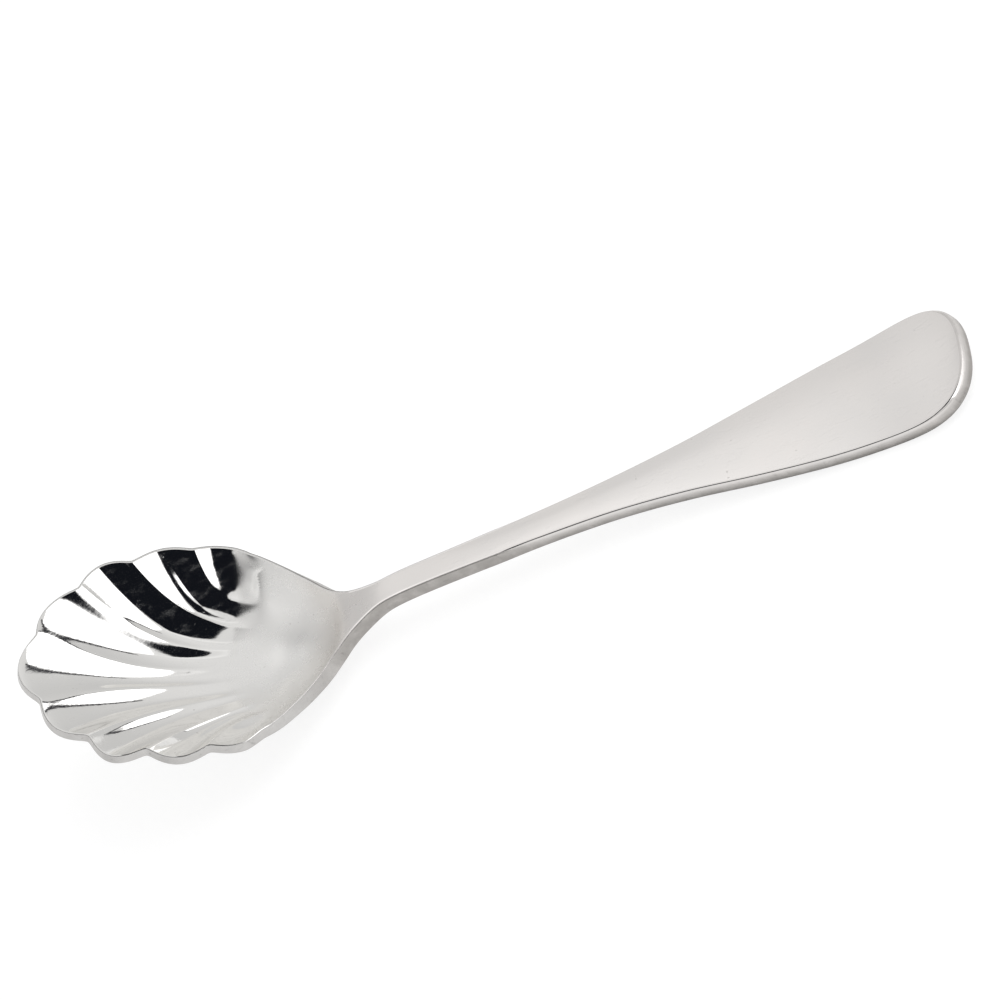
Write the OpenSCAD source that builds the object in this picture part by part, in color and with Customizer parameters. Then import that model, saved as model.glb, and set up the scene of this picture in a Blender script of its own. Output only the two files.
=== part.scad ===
// Sugar spoon with a fluted shell bowl.
// A real one is a single stamped and polished piece; here it is drawn as the four zones
// of that piece, which meet face to face: bowl, neck, stem and handle.
// Millimetres. +X runs from the bowl to the handle's end and +Z is up. The spoon lies as
// on a table, on the bowl's underside and the handle's; the origin is on the table under
// the middle of the spoon.

/* [Spoon] */
// Length along the handle, from the tip of the bowl to the end of the handle
spoon_l = 150.2; // [140:0.5:175]
// Width of the bevel along every edge
bevel = 0.3; // [0.15:0.05:0.4]

/* [Bowl] */
// Length of the oval on which the ridges between the flutes end
oval_l = 48.2; // [43:0.2:53]
// Width of that oval
oval_w = 36.8; // [32:0.2:42]
// Depth of the bowl below its rim
bowl_depth = 8.2; // [6:0.2:10]
// How much deeper the bowl gets from its middle towards the neck
heel_drop = 3.2; // [2:0.1:4]
// Thickness of the bowl's wall
bowl_t = 1.45; // [1:0.05:1.8]
// Angle between the bowl's rim and the handle
rim_angle = 23.6; // [16:0.2:30]
// How far the lobe at the tip stands out from the oval
lobe_out = 1.75; // [1:0.05:2.4]
// How far the rim rises at each ridge
rim_wave = 0.4; // [0.1:0.05:0.8]
// Distance from the tip, along the rim, at which the tip's flute has faded out
flute_l = 33; // [31:0.5:36]
// How much further back the outermost flutes end
flute_slant = 3.6; // [2:0.2:5]
// Depth that the flutes keep halfway along
flute_depth = 0.5; // [0.2:0.05:0.8]
// Depth of the pockets in which the outer flutes end
heel_depth = 0.5; // [0.2:0.05:0.8]

/* [Neck and stem] */
// Length over which the bowl's shoulders narrow to the stem
shoulder_l = 31.4; // [28:0.2:34]
// Distance from the tip, along the handle, at which the rim comes down to the handle's height
knee_x = 33.6; // [31:0.2:36]
// Rounding of the bend at that place
knee_r = 1; // [0.5:0.1:2]
// How far the neck sags below the handle
neck_sag = 2.5; // [1.5:0.1:3.5]
// Length over which the neck sags, to each side
sag_l = 8.5; // [7:0.1:10]
// Rounding where the bowl's floor comes out at the neck
floor_r = 1.2; // [0.6:0.1:2]
// Width of the stem
stem_w = 4.3; // [3.6:0.1:6]

/* [Handle] */
// Width of the handle at its widest
handle_w = 20.2; // [15:0.2:24]
// Thickness of the handle and the stem
handle_t = 2.6; // [1.8:0.05:3]
// Length of the rounded end
end_l = 13.4; // [10:0.2:16]
// How far the stem arches up behind the neck
arch = 0.3; // [0:0.1:0.8]
// How far the handle then dips
dip = 0.7; // [0:0.1:1.4]
// How far the handle's end curls up from the dip
end_rise = 3.1; // [1.5:0.1:4.5]
// How far the handle's top is domed
crown = 0.25; // [0:0.05:0.5]

/* [Hidden] */

// Lobes counted from the tip outwards: the middle of a lobe is a whole number, a ridge
// is half a number further on, and the fan of flutes ends at half_fan.
half_fan = 4.5;
steps_per_lobe = 6;
columns = 2 * half_fan * steps_per_lobe;
// Where on the oval the ridges end, as angles from the tip
ridge_angles = [[0, 0], [0.5, 19], [1.5, 48.5], [2.5, 72], [3.5, 94.5], [4.5, 117]];
// How strongly each flute bends on its way back to the neck
bend_powers = [[0, 6.2], [0.5, 5.8], [1.5, 4.15], [2.5, 3.5], [3.5, 8.5], [4.5, 8.5]];
// How far each lobe stands out, of the tip lobe's amount
lobe_shares = [1, 0.72, 1.05, 0.66, 0.4];
// Half width of the shoulder: [of the way to the stem, of the way from stem to oval]
shoulder_shares = [[0, 1], [0.15, 0.975], [0.3, 0.872], [0.42, 0.7],
                   [0.55, 0.465], [0.67, 0.228], [0.8, 0.08], [1, 0]];
// Half width of the handle: [of the way to its end, of the way to full width]
handle_shares = [[0, 0], [0.13, 0.01], [0.27, 0.06], [0.4, 0.147], [0.52, 0.315],
                 [0.64, 0.566], [0.76, 0.796], [0.88, 0.951], [1, 1.1]];
// Squareness of the rounded end: 2 would be an ellipse
end_power = 2.6;
// Share of the half width at which one lobe's line crosses the neck
neck_step_share = 0.155;
// Roundness of the notches in the rim, and by lobe of the crests between the flutes
notch_round = 0.12;
crest_rounds = [[1, 0.3], [1.5, 0.1], [2.5, 0.13]];
// Share of the flutes' length over which they fade sideways into the shoulder
fade_share = 0.12;
// How late each flute's own depth fades, by lobe, and how softly it ends
fade_powers = [[0, 0.28], [1, 0.55], [2, 0.87], [3, 0.82], [4, 2.9]];
fade_end_power = 2.2;
// How much deeper a flute starts at the rim than the ridge beside it, of the rim's wave
wave_share = 1.25;
// Shares of the depth halfway, and of the pocket's depth, by lobe
middle_shares = [[0, 0.96], [1, 0.94], [2, 0.44], [3, 0], [4, -0.53]];
pocket_shares = [[2, 0], [2.5, 0.25], [3, 0.73], [3.5, 1]];
// How much steeper each flute is towards the tip, by lobe, and how much deeper there
lean_shares = [[0.5, 0], [1, 0], [2, 0.9], [3, 0.1], [3.5, 0]];
lean_depths = [[0.5, 0], [1, -0.6], [2, 0.8], [3, 0], [3.5, 0]];
// How far forward the depth halfway lies, and where the pockets deepen and end
middle_power = 0.68;
pocket_power = 1.5;
pocket_end = 0.75;
// Shortest flute, of the length over which the flutes fade sideways
least_share = 0.63;

// Rows of points in each zone, as shares of the way from its front to its back
bowl_row_shares = [0.06, 0.13, 0.21, 0.3, 0.4, 0.5, 0.6, 0.7, 0.8, 0.9, 1];
neck_row_shares = [0, 0.12, 0.26, 0.42, 0.6, 0.8, 1];
stem_row_shares = [0, 0.2, 0.4, 0.6, 0.8, 1];
blade_row_shares = [0, 0.14, 0.28, 0.42, 0.56, 0.7, 0.85, 1];
end_row_shares = [0.14, 0.28, 0.42, 0.56, 0.7, 0.82, 0.92];

// The rim's plane is tilted, so lengths along it are shorter along the handle
tilt_share = cos(rim_angle);
half_oval_l = oval_l / 2;
half_oval_w = oval_w / 2;
half_stem = stem_w / 2;
half_handle = handle_w / 2;
oval_x = (lobe_out + half_oval_l) * tilt_share;
oval_reach = half_oval_l * tilt_share;
fade_x = flute_l * tilt_share;
shoulder_end = oval_x + shoulder_l;
neck_x = oval_x + 0.555 * shoulder_l;
sag_x = oval_x + 0.633 * shoulder_l;
stem_x = shoulder_end + 0.022 * spoon_l;
blade_x = stem_x + 0.4 * (spoon_l - end_l - stem_x);
end_x = spoon_l - end_l;
fan_x = blade_x + 0.7 * (end_x - blade_x);
tiny = spoon_l / 10000;

function clamp(v) = min(max(v, 0), 1);
function mix(a, b, t) = a + (b - a) * t;
function ease(t) = let(c = clamp(t)) c * c * (3 - 2 * c);
// Zero below, q above, with a bend of size e between the two
function soft(q, e) = (q + sqrt(q * q + e * e)) / 2;

// Smooth line through a list of [along, value] shares, level at both ends
function slope(s, i) = i == 0 || i == len(s) - 1 ? 0
    : (s[i + 1][1] - s[i - 1][1]) / (s[i + 1][0] - s[i - 1][0]);
function through(s, x) =
    let(c = clamp(x),
        i = len([for (k = [1 : len(s) - 2]) if (s[k][0] <= c) k]),
        h = s[i + 1][0] - s[i][0],
        t = (c - s[i][0]) / h)
    (2 * t - 3) * t * t * (s[i][1] - s[i + 1][1]) + s[i][1]
        + ((t - 2) * t + 1) * t * h * slope(s, i)
        + (t - 1) * t * t * h * slope(s, i + 1);

// Half width of the spoon behind the widest place of the bowl
function half_width(x) = x < shoulder_end
    ? mix(half_stem, half_oval_w, through(shoulder_shares, (x - oval_x) / shoulder_l))
    : mix(half_stem, half_handle,
          through(handle_shares, (x - shoulder_end) / (spoon_l - shoulder_end)));

// Height of the spoon's middle line: down along the rim's plane, sagging at the neck,
// arched a little along the stem, dipping along the handle and curling up at the end
function line_z(x) = soft(tan(rim_angle) * (knee_x - x), knee_r)
    - neck_sag * exp(-pow((x - sag_x) / sag_l, 2))
    + arch * ease((x - sag_x) / (stem_x - sag_x))
    - dip * ease((x - blade_x) / (fan_x - blade_x))
    + end_rise * pow(max(x - fan_x, 0) / (spoon_l - fan_x), 3);
function line_slope(x) = (line_z(x + tiny) - line_z(x - tiny)) / (2 * tiny);

// Height of the smooth dish over the middle line, through all the ridges
function dish(x, y) =
    let(a = (x - oval_x) / oval_reach,
        deep = bowl_depth + heel_drop * a,
        rise = rim_wave * clamp(1 - max(a - 0.3, 0) / 0.4))
    a < 0 ? rise - deep * (1 - a * a - pow(y / half_oval_w, 2))
        : let(w = half_width(x),
              across = 1 - pow(y / w, 2),
              out = max(floor_r * ease(a / 0.6), tiny))
          rise - soft(deep * (1 - a * a), out) * across
              + crown * ease((x - shoulder_end) / shoulder_l) * across;

function line_up(x) = let(e = line_slope(x)) [-e, 0, 1] / sqrt(1 + e * e);
function at(x, h, y) = [x, y, line_z(x)] + h * line_up(x);
function smooth_at(x, y) = at(x, dish(x, y), y);
// Direction through the wall: halfway between square to the wall and square to the rim
function facing(x, y) =
    let(n = cross(smooth_at(x + tiny, y) - smooth_at(x - tiny, y),
                  smooth_at(x, y + tiny) - smooth_at(x, y - tiny)),
        half = n / norm(n) + line_up(x))
    half / norm(half);

// Shape across one lobe: 1 in its middle, 0 on the ridges, and out into the shoulder
function across_lobe(t, e) =
    let(a = abs(t), c = cos(180 * (a - round(a))))
    a > 4 ? pow(cos(180 * (min(a, half_fan) - 4)), 2)
        : (sqrt(c * c + e * e) - e) / (sqrt(1 + e * e) - e);

// Point of the lobed rim seen from above, set in from the edge
function rim_at(t, inset) =
    let(a = abs(t),
        g = lookup(a, ridge_angles),
        out = lobe_out * lobe_shares[min(round(a), 4)] * across_lobe(t, notch_round) - inset,
        ox = -half_oval_l * cos(g),
        oy = g < 90 ? half_oval_w * sin(g) : half_width(oval_x + ox * tilt_share),
        nx = -cos(g) / half_oval_l,
        ny = sin(g) / half_oval_w,
        n = norm([nx, ny]))
    [oval_x + (ox + out * nx / n) * tilt_share, sign(t) * (oy + out * ny / n)];

// Width by which the lines of the fan are measured
function fan_width(x) = x < oval_x
    ? half_oval_w * sqrt(1 - pow((x - oval_x) / (1.1 * oval_x), 2)) : half_width(x);
function neck_share(t) = let(a = abs(t) / half_fan, s = neck_step_share * half_fan)
    sign(t) * mix(pow(a, 6), a, s);

// Place along the spoon at which a lobe's flute has run out
function fade_line(t) = fade_x + flute_slant * ease(abs(t) / 4);

// Depth of a flute: the rim's own depth fading on the way to the fade line, plus a sine
// halfway, plus a pocket in which the outer flutes end, all leaning towards the tip
function flute(t, x) =
    let(a = abs(t),
        off = 2 * (a - round(a)),
        r = rim_at(t, 0),
        over = max(dish(r[0], r[1]) - rim_wave, 0),
        left = fade_line(t) - r[0],
        way = clamp((x - r[0]) / max(left, least_share * fade_share * flute_l)),
        bump = across_lobe(t, lookup(a, crest_rounds)) * ease(left / (fade_share * flute_l))
            * (1 - lookup(a, lean_shares) * off),
        fading = pow(1 - pow(way, lookup(a, fade_powers)), fade_end_power),
        middle = flute_depth * sin(180 * pow(way, middle_power))
            * (lookup(a, middle_shares) - lookup(a, lean_depths) * off),
        pocket = heel_depth * lookup(a, pocket_shares) * pow(way, pocket_power)
            * (1 - ease((way - pocket_end) / (1 - pocket_end))))
    (over + wave_share * rim_wave * bump) * fading + bump * (middle + pocket);

// A column is [lobe count, 1 on the outer edge]; the second one in lies a bevel further in
cols = concat([[-half_fan, 1]],
              [for (k = [0 : columns]) [k / steps_per_lobe - half_fan, 0]],
              [[half_fan, 1]]);
function side_y(c, w, share, inset) = abs(c[0]) == half_fan
    ? sign(c[0]) * (w - (c[1] == 1 ? 0 : bevel)) : (w - inset) * share;

// Both skins over one point of the plan, drawn in at an edge
function wall(x) = mix(bowl_t, handle_t, ease((x - oval_x) / shoulder_l));
function skins(x, y, edge, relief) =
    let(p = at(x, dish(x, y) - relief, y), n = facing(x, y), e = edge ? bevel : 0)
    [p - e * n, p - (wall(x) - e) * n];

function bowl_row(v, inset, edge) = [for (c = cols)
    let(r = rim_at(c[0], inset),
        x = mix(r[0], neck_x, v),
        w = fan_width(x),
        start = r[1] / fan_width(r[0]),
        share = mix(neck_share(c[0]), start, pow(1 - v, lookup(abs(c[0]), bend_powers))),
        y = side_y(c, w, share, bevel * v))
    skins(x, y, edge || c[1] == 1, flute(c[0], x))];
function band_row(x) = [for (c = cols)
    skins(x, side_y(c, half_width(x), neck_share(c[0]), bevel), c[1] == 1, 0)];
function end_row(v, inset, edge) = [for (c = cols)
    let(g = abs(c[0]) / half_fan * 90,
        x1 = end_x - inset + end_l * pow(cos(g), 2 / end_power),
        x = mix(fan_x, x1, v),
        share = mix(neck_share(c[0]), sign(c[0]) * pow(sin(g), 2 / end_power), v),
        y = side_y(c, half_width(x), share, inset))
    skins(x, y, edge || c[1] == 1, 0)];

bowl_rows = concat([bowl_row(0, 0, true), bowl_row(0, bevel, false)],
                   [for (v = bowl_row_shares) bowl_row(v, bevel, false)]);
neck_rows = [for (v = neck_row_shares) band_row(mix(neck_x, stem_x, v))];
stem_rows = [for (v = stem_row_shares) band_row(mix(stem_x, blade_x, v))];
handle_rows = concat([for (v = blade_row_shares) band_row(mix(blade_x, fan_x, v))],
                     [for (v = end_row_shares) end_row(v, bevel, false)],
                     [end_row(1, bevel, false), end_row(1, 0, true)]);

// Laid on the table: turned so that the bowl and the handle's end touch it
function lower(rows) = [for (r = rows) for (s = r) s[1]];
function height(p, a) = p[2] * cos(a) - p[0] * sin(a);
function lowest(pts, a) = let(h = [for (p = pts) height(p, a)])
    pts[search(min(h), h)[0]];
function rest_turn(a) = let(d = lowest(lower(handle_rows), a) - lowest(lower(bowl_rows), a))
    atan2(d[2], d[0]);
rest_angle = rest_turn(rest_turn(rest_turn(0)));
function along(p) = p[0] * cos(rest_angle) + p[2] * sin(rest_angle);
tip_along = min([for (r = [bowl_rows[0]]) for (s = r) for (p = s) along(p)]);
end_along = max([for (r = [handle_rows[len(handle_rows) - 1]]) for (s = r) for (p = s) along(p)]);
middle = (tip_along + end_along) / 2;
table = height(lowest(lower(bowl_rows), rest_angle), rest_angle);
function laid(p) = [along(p) - middle, p[1], height(p, rest_angle) - table];

// Closed solid between the upper and the lower skin of a zone
function split(a, b, c, d) = [[a, b, c], [a, c, d]];
module zone(rows) {
    m = len(rows) - 1;
    n = len(cols) - 1;
    points = [for (r = rows) for (s = r) for (p = s) laid(p)];
    function up(j, k) = 2 * (j * (n + 1) + k);
    function low(j, k) = up(j, k) + 1;
    faces = concat(
        [for (j = [0 : m - 1]) for (k = [0 : n - 1])
            each split(up(j, k), up(j, k + 1), up(j + 1, k + 1), up(j + 1, k))],
        [for (j = [0 : m - 1]) for (k = [0 : n - 1])
            each split(low(j, k), low(j + 1, k), low(j + 1, k + 1), low(j, k + 1))],
        [for (j = [0 : m - 1])
            each split(up(j, 0), up(j + 1, 0), low(j + 1, 0), low(j, 0))],
        [for (j = [0 : m - 1])
            each split(up(j, n), low(j, n), low(j + 1, n), up(j + 1, n))],
        [for (k = [0 : n - 1])
            each split(up(0, k), low(0, k), low(0, k + 1), up(0, k + 1))],
        [for (k = [0 : n - 1])
            each split(up(m, k), up(m, k + 1), low(m, k + 1), low(m, k))]);
    polyhedron(points = points, faces = faces, convexity = 6);
}

// Shell bowl with its nine lobes
module bowl() {
    color([0.83, 0.83, 0.84]) zone(bowl_rows);
}

// Sagging neck between the bowl's shoulders and the stem
module neck() {
    color([0.8, 0.8, 0.81]) zone(neck_rows);
}

// Narrow stem
module stem() {
    color([0.83, 0.83, 0.84]) zone(stem_rows);
}

// Widening handle with its rounded end
module handle() {
    color([0.86, 0.86, 0.86]) zone(handle_rows);
}

bowl();
neck();
stem();
handle();
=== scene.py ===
"""Sugar spoon with a fluted shell bowl, lying on a pale table."""

import math

import bpy
import numpy as np
from bpy.props import FloatProperty, FloatVectorProperty, PointerProperty
from mathutils import Matrix, Vector


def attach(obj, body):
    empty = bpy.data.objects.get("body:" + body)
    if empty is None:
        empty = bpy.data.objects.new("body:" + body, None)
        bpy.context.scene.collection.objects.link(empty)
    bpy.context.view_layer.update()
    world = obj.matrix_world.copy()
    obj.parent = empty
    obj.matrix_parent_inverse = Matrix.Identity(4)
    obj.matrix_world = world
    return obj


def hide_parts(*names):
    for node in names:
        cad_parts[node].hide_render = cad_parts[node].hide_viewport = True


bl_info = {
    "name": "Shell Sugar Spoon",
    "version": (1, 0, 0),
    "blender": (4, 5, 0),
    "location": "View3D > Sidebar > Spoon",
    "description": "Builds a polished sugar spoon with a fluted shell bowl",
    "category": "Add Mesh",
}

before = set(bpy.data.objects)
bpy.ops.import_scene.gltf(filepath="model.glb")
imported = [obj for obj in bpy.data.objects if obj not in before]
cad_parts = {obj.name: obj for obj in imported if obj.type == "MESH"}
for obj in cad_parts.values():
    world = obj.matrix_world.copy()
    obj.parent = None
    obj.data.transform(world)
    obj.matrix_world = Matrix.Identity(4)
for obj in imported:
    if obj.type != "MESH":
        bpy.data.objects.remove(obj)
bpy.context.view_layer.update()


# ---------- sizes and colours that a user would change ----------

def length(name, description, default):
    """A length in metres that the sidebar shows."""
    return FloatProperty(name=name, description=description, default=default,
                         min=0.0, unit="LENGTH", precision=5)


class SpoonSizes(bpy.types.PropertyGroup):
    """Sizes of the spoon, the same as those of its solids."""
    spoon_l: length("Length", "From the bowl's tip to the handle's end", 0.1502)
    rim_edge: length("Rim edge", "Width of the land round the lobes", 0.0003)
    edge_r: length("Edge rounding", "Width over which the other edges are rounded", 0.0005)
    edge_drop: length("Edge drop", "Height of the land round bowl, neck and stem", 0.0002)
    handle_drop: length("Handle edge drop", "Height of the rounding on the handle", 0.001)
    oval_l: length("Oval length", "Oval on which the ridges end", 0.0482)
    oval_w: length("Oval width", "Width of that oval", 0.0368)
    bowl_depth: length("Bowl depth", "Depth below the rim", 0.0082)
    heel_drop: length("Heel drop", "How much deeper the bowl gets towards the neck", 0.0032)
    bowl_t: length("Bowl wall", "Thickness of the bowl's wall", 0.00145)
    lobe_out: length("Lobe", "How far the tip lobe stands out from the oval", 0.00175)
    rim_wave: length("Rim wave", "How far the rim rises at each ridge", 0.0004)
    flute_l: length("Flute length", "Distance from the tip at which the flutes end", 0.033)
    flute_slant: length("Flute slant", "How much further back the outermost flutes end", 0.0036)
    flute_depth: length("Flute depth", "Depth that the flutes keep halfway along", 0.0005)
    heel_depth: length("Pocket depth", "Depth in which the outer flutes end", 0.0005)
    shoulder_l: length("Shoulder", "Length over which the shoulders narrow", 0.0314)
    knee_x: length("Knee", "Where the rim comes down to the handle's height", 0.0336)
    knee_r: length("Knee rounding", "Rounding of that bend", 0.001)
    neck_sag: length("Neck sag", "How far the neck sags", 0.0025)
    sag_l: length("Sag length", "Length over which it sags, to each side", 0.0085)
    floor_r: length("Floor rounding", "Rounding where the floor comes out", 0.0012)
    stem_w: length("Stem width", "Width of the stem", 0.0043)
    handle_w: length("Handle width", "Width of the handle at its widest", 0.0202)
    handle_t: length("Handle thickness", "Thickness of handle and stem", 0.0026)
    end_l: length("Rounded end", "Length of the rounded end", 0.0134)
    arch: length("Arch", "How far the stem arches up behind the neck", 0.0003)
    dip: length("Dip", "How far the handle then dips", 0.0007)
    end_rise: length("End rise", "How far the handle's end curls up", 0.0031)
    crown: length("Crown", "How far the handle's top is domed", 0.00025)
    rim_angle: FloatProperty(name="Rim angle", description="Between the rim and the handle",
                             default=math.radians(23.6), subtype="ANGLE")
    rest_angle: FloatProperty(name="Lying angle", description="Slope of the handle on the table",
                              default=math.radians(3.75748), subtype="ANGLE")
    middle: length("Middle", "Distance from the tip to the middle, along the table", 0.075393)
    table: FloatProperty(name="Table", description="Height of the table below the handle's line",
                         default=-0.0115614, unit="LENGTH", precision=5)


# ---------- shape ----------

# Lobes are counted from the tip outwards: the middle of a lobe is a whole number, a ridge
# is half a number further on, and the fan of flutes ends at half the fan
HALF_FAN = 4.5
# Where on the oval the ridges end, in degrees from the tip
RIDGE_ANGLES = ((0, 0.5, 1.5, 2.5, 3.5, 4.5), (0, 19, 48.5, 72, 94.5, 117))
# How strongly each flute bends on its way back to the neck
BEND_POWERS = ((0, 0.5, 1.5, 2.5, 3.5, 4.5), (6.2, 5.8, 4.15, 3.5, 8.5, 8.5))
# How far each lobe stands out, of the tip lobe's amount
LOBE_SHARES = (1, 0.72, 1.05, 0.66, 0.4)
# Half width of the shoulder, of the way from the stem's to the oval's
SHOULDER_SHARES = ((0, 0.15, 0.3, 0.42, 0.55, 0.67, 0.8, 1),
                   (1, 0.975, 0.872, 0.7, 0.465, 0.228, 0.08, 0))
# Half width of the handle, of the way from the stem's to its full width
HANDLE_SHARES = ((0, 0.13, 0.27, 0.4, 0.52, 0.64, 0.76, 0.88, 1),
                 (0, 0.01, 0.06, 0.147, 0.315, 0.566, 0.796, 0.951, 1.1))
# Squareness of the rounded end: 2 would be an ellipse
END_POWER = 2.6
# Neck and deepest sag along the shoulder, the stem's start behind it of the whole length,
# the blade's start on the way to the rounded end, and the end rows' start behind that
NECK_PLACE, SAG_PLACE, STEM_PLACE, BLADE_PLACE, FAN_PLACE = 0.555, 0.633, 0.022, 0.4, 0.7
# Share of the half width at which one lobe's line crosses the neck, and how the lines
# crowd towards the sides there
NECK_STEP_SHARE, NECK_POWER = 0.155, 6
# Front of the oval by which the fan is measured, of the distance to the widest place
FAN_REACH = 1.1
# Behind the widest place: where the rim's wave starts to run out and over how much, and
# how far back the floor's rounding reaches its full size
WAVE_END, WAVE_FADE, FLOOR_SHARE = 0.3, 0.4, 0.6
# Roundness of the notches in the rim, and by lobe of the crests between the flutes
NOTCH_ROUND = 0.12
CREST_ROUNDS = ((1, 1.5, 2.5), (0.3, 0.1, 0.13))
# Share of the flutes' length over which they fade sideways into the shoulder, and the
# shortest flute, of that
FADE_SHARE, LEAST_SHARE = 0.12, 0.63
# How late each flute's own depth fades, by lobe, and how softly it ends
FADE_POWERS = ((0, 1, 2, 3, 4), (0.28, 0.55, 0.87, 0.82, 2.9))
FADE_END_POWER = 2.2
# How much deeper a flute starts at the rim than the ridge beside it, of the rim's wave
WAVE_SHARE = 1.25
# Shares of the depth halfway, and of the pocket's depth, by lobe
MIDDLE_SHARES = ((0, 1, 2, 3, 4), (0.96, 0.94, 0.44, 0, -0.53))
POCKET_SHARES = ((2, 2.5, 3, 3.5), (0, 0.25, 0.73, 1))
# How far forward the depth halfway lies, and where the pockets deepen and end
MIDDLE_POWER, POCKET_POWER, POCKET_END = 0.68, 1.5, 0.75
# How much steeper each flute is towards the tip, by lobe, and how much deeper there
LEAN_SHARES = ((0.5, 1, 2, 3, 3.5), (0, 0, 0.9, 0.1, 0))
LEAN_DEPTHS = ((0.5, 1, 2, 3, 3.5), (0, -0.6, 0.8, 0, 0))
# Share of satin: where it starts in the bowl and over how much of the way it comes, how
# much of it the handle keeps, and how much its end's rim has
SATIN_START, SATIN_WIDTH, HANDLE_SATIN, END_SATIN = 0.86, 0.12, 0.45, 0.8
# The bowl's flat land: its tilt, and how much of the edge's width it takes
LAND_ANGLE, LAND_SHARE = math.radians(28), 0.75
# Along the stem: where the edge starts to change, and over how much it gets deeper and
# turns from a flat land into a rounding
EDGE_START, EDGE_DEEPER, EDGE_ROUNDER = 0.45, 0.4, 0.25
# Tilt at which the handle's edge passes from its tight to its wide rounding, and the steps
# of each
CORNER_TURN, EDGE_STEPS = math.radians(62), (12, 4)
# Tilt at which the rounding starts to take the side wall's darker colour as painted shade,
# over how much, and how much of that painted shade the rounding, the land's outer part and the
# end's rim take
SHADE_START, SHADE_TURN = 1.1, 0.4
ROUND_SHADE, LAND_SHADE, END_PAINTED_SHADE = 0.6, 0.9, 0.55
# How far an edge faces backwards where the end's rim starts, satin and in painted shade, and over
# how much
WEAR_SHADE_START, WEAR_SHADE_WIDTH = 0.5, 0.35
# Last rows whose outermost columns face as their neighbours do
CORNER_ROWS = 12
# Steps of the grid, and how much closer its rows are at the rim and at the end
STEPS_PER_LOBE = 20
ROWS = {"bowl": 84, "neck": 40, "stem": 30, "handle": 50, "end": 44}
BOWL_ROW_POWER, END_ROW_POWER = 1.15, 1.3


def ease(t):
    """Smooth step: 3 t squared minus 2 t cubed, with t held between 0 and 1."""
    t = np.clip(t, 0, 1)
    return t * t * (3 - 2 * t)


def soft(q, e):
    """Half of q plus the root of q squared plus e squared: zero below, q above."""
    return (q + np.sqrt(q * q + e * e)) / 2


def through(shares, x):
    """Cubic pieces through the listed shares, whose slope at each inner point is that of
    the line between its neighbours, and level at both ends."""
    xs, ys = (np.asarray(v, float) for v in shares)
    slope = np.zeros(len(xs))
    slope[1:-1] = (ys[2:] - ys[:-2]) / (xs[2:] - xs[:-2])
    x = np.clip(x, 0, 1)
    i = np.clip(np.searchsorted(xs, x, "right") - 1, 0, len(xs) - 2)
    h = xs[i + 1] - xs[i]
    t = (x - xs[i]) / h
    return ((2 * t - 3) * t * t * (ys[i] - ys[i + 1]) + ys[i]
            + ((t - 2) * t + 1) * t * h * slope[i] + (t - 1) * t * t * h * slope[i + 1])


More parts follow.
